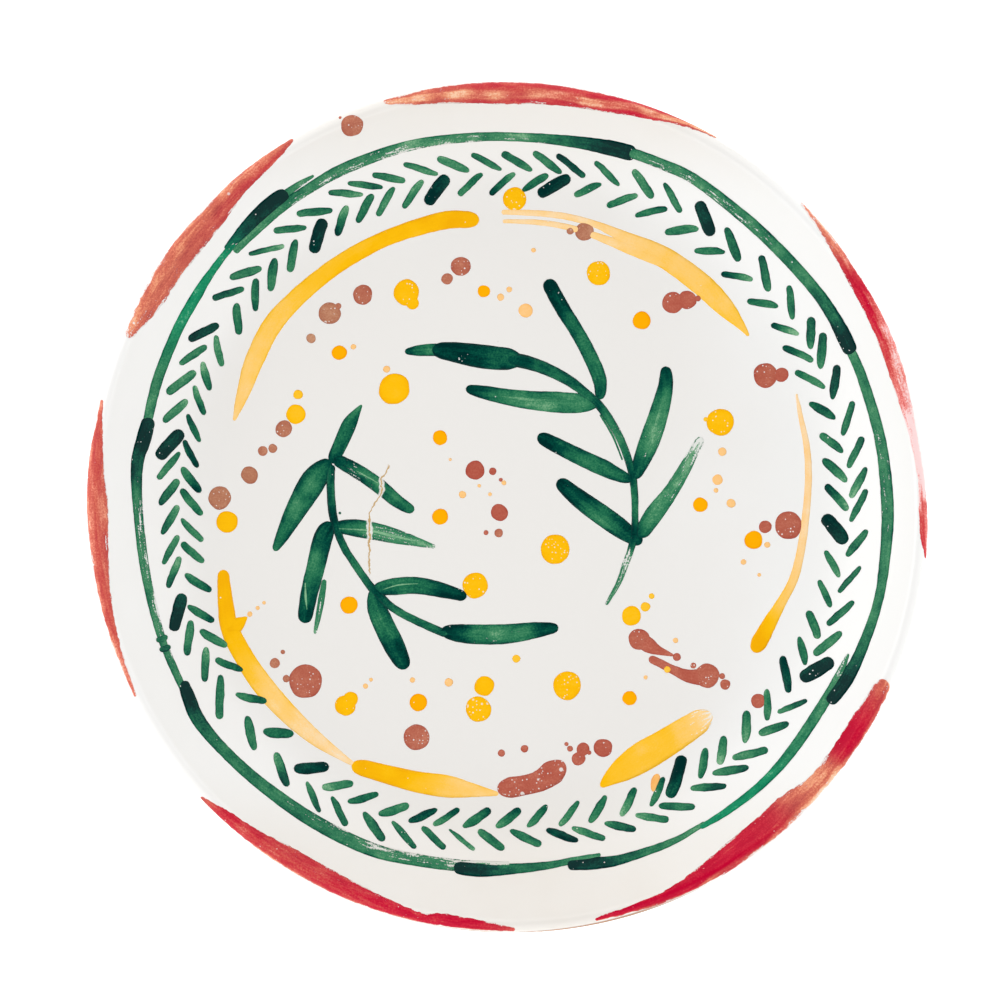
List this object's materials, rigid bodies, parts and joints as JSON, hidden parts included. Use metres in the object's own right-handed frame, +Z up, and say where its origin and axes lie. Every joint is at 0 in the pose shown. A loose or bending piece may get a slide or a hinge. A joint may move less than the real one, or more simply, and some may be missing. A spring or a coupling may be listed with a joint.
{
  "type": "painted ceramic plate",
  "caption": "Shallow round glazed plate on a foot ring, hand painted with a green band, a leaf border, red rim strokes, yellow sweeps and two leafy sprigs.",
  "frame": {"origin": "on the table, under the middle of the plate", "axes": "+Z up out of the eating side, +Y towards the top of the painting, +X to its right"},
  "size_m": [0.28, 0.28, 0.0282],
  "materials": {
    "bare_clay": "matt fired clay, bare on the foot",
    "white_glaze": "glossy warm white glaze",
    "green_colour": "streaky green slip colour under gloss",
    "yellow_colour": "warm yellow slip colour under gloss",
    "amber_colour": "amber slip colour under gloss",
    "peach_colour": "thin peach slip colour under gloss",
    "terracotta_colour": "grainy terracotta slip colour under gloss",
    "red_colour": "crimson slip colour thinning to salmon, under gloss"
  },
  "bodies": {
    "root": {"clay_body": "bare_clay", "white_glaze": "white_glaze", "green_band": "green_colour", "outer_leaf_row": "green_colour", "inner_leaf_row": "green_colour", "left_sprig_stem": "green_colour", "left_sprig_leaves": "green_colour", "right_sprig_stem": "green_colour", "right_sprig_leaves": "green_colour", "yellow_sweep_upper_left": "yellow_colour", "yellow_sweep_upper_right": "yellow_colour", "yellow_sweep_right": "yellow_colour", "yellow_sweep_lower_right": "yellow_colour", "yellow_sweep_bottom": "yellow_colour", "yellow_sweep_left": "yellow_colour", "red_stroke_right": "red_colour", "red_stroke_top": "red_colour", "red_stroke_upper_left": "red_colour", "red_stroke_left": "red_colour", "red_stroke_lower_left": "red_colour", "red_stroke_lower_right": "red_colour", "yellow_drops": "yellow_colour", "amber_drops": "amber_colour", "peach_drops": "peach_colour", "terracotta_drops": "terracotta_colour", "terracotta_splash_right": "terracotta_colour", "terracotta_splash_bottom": "terracotta_colour"}
  },
  "joints": []
}
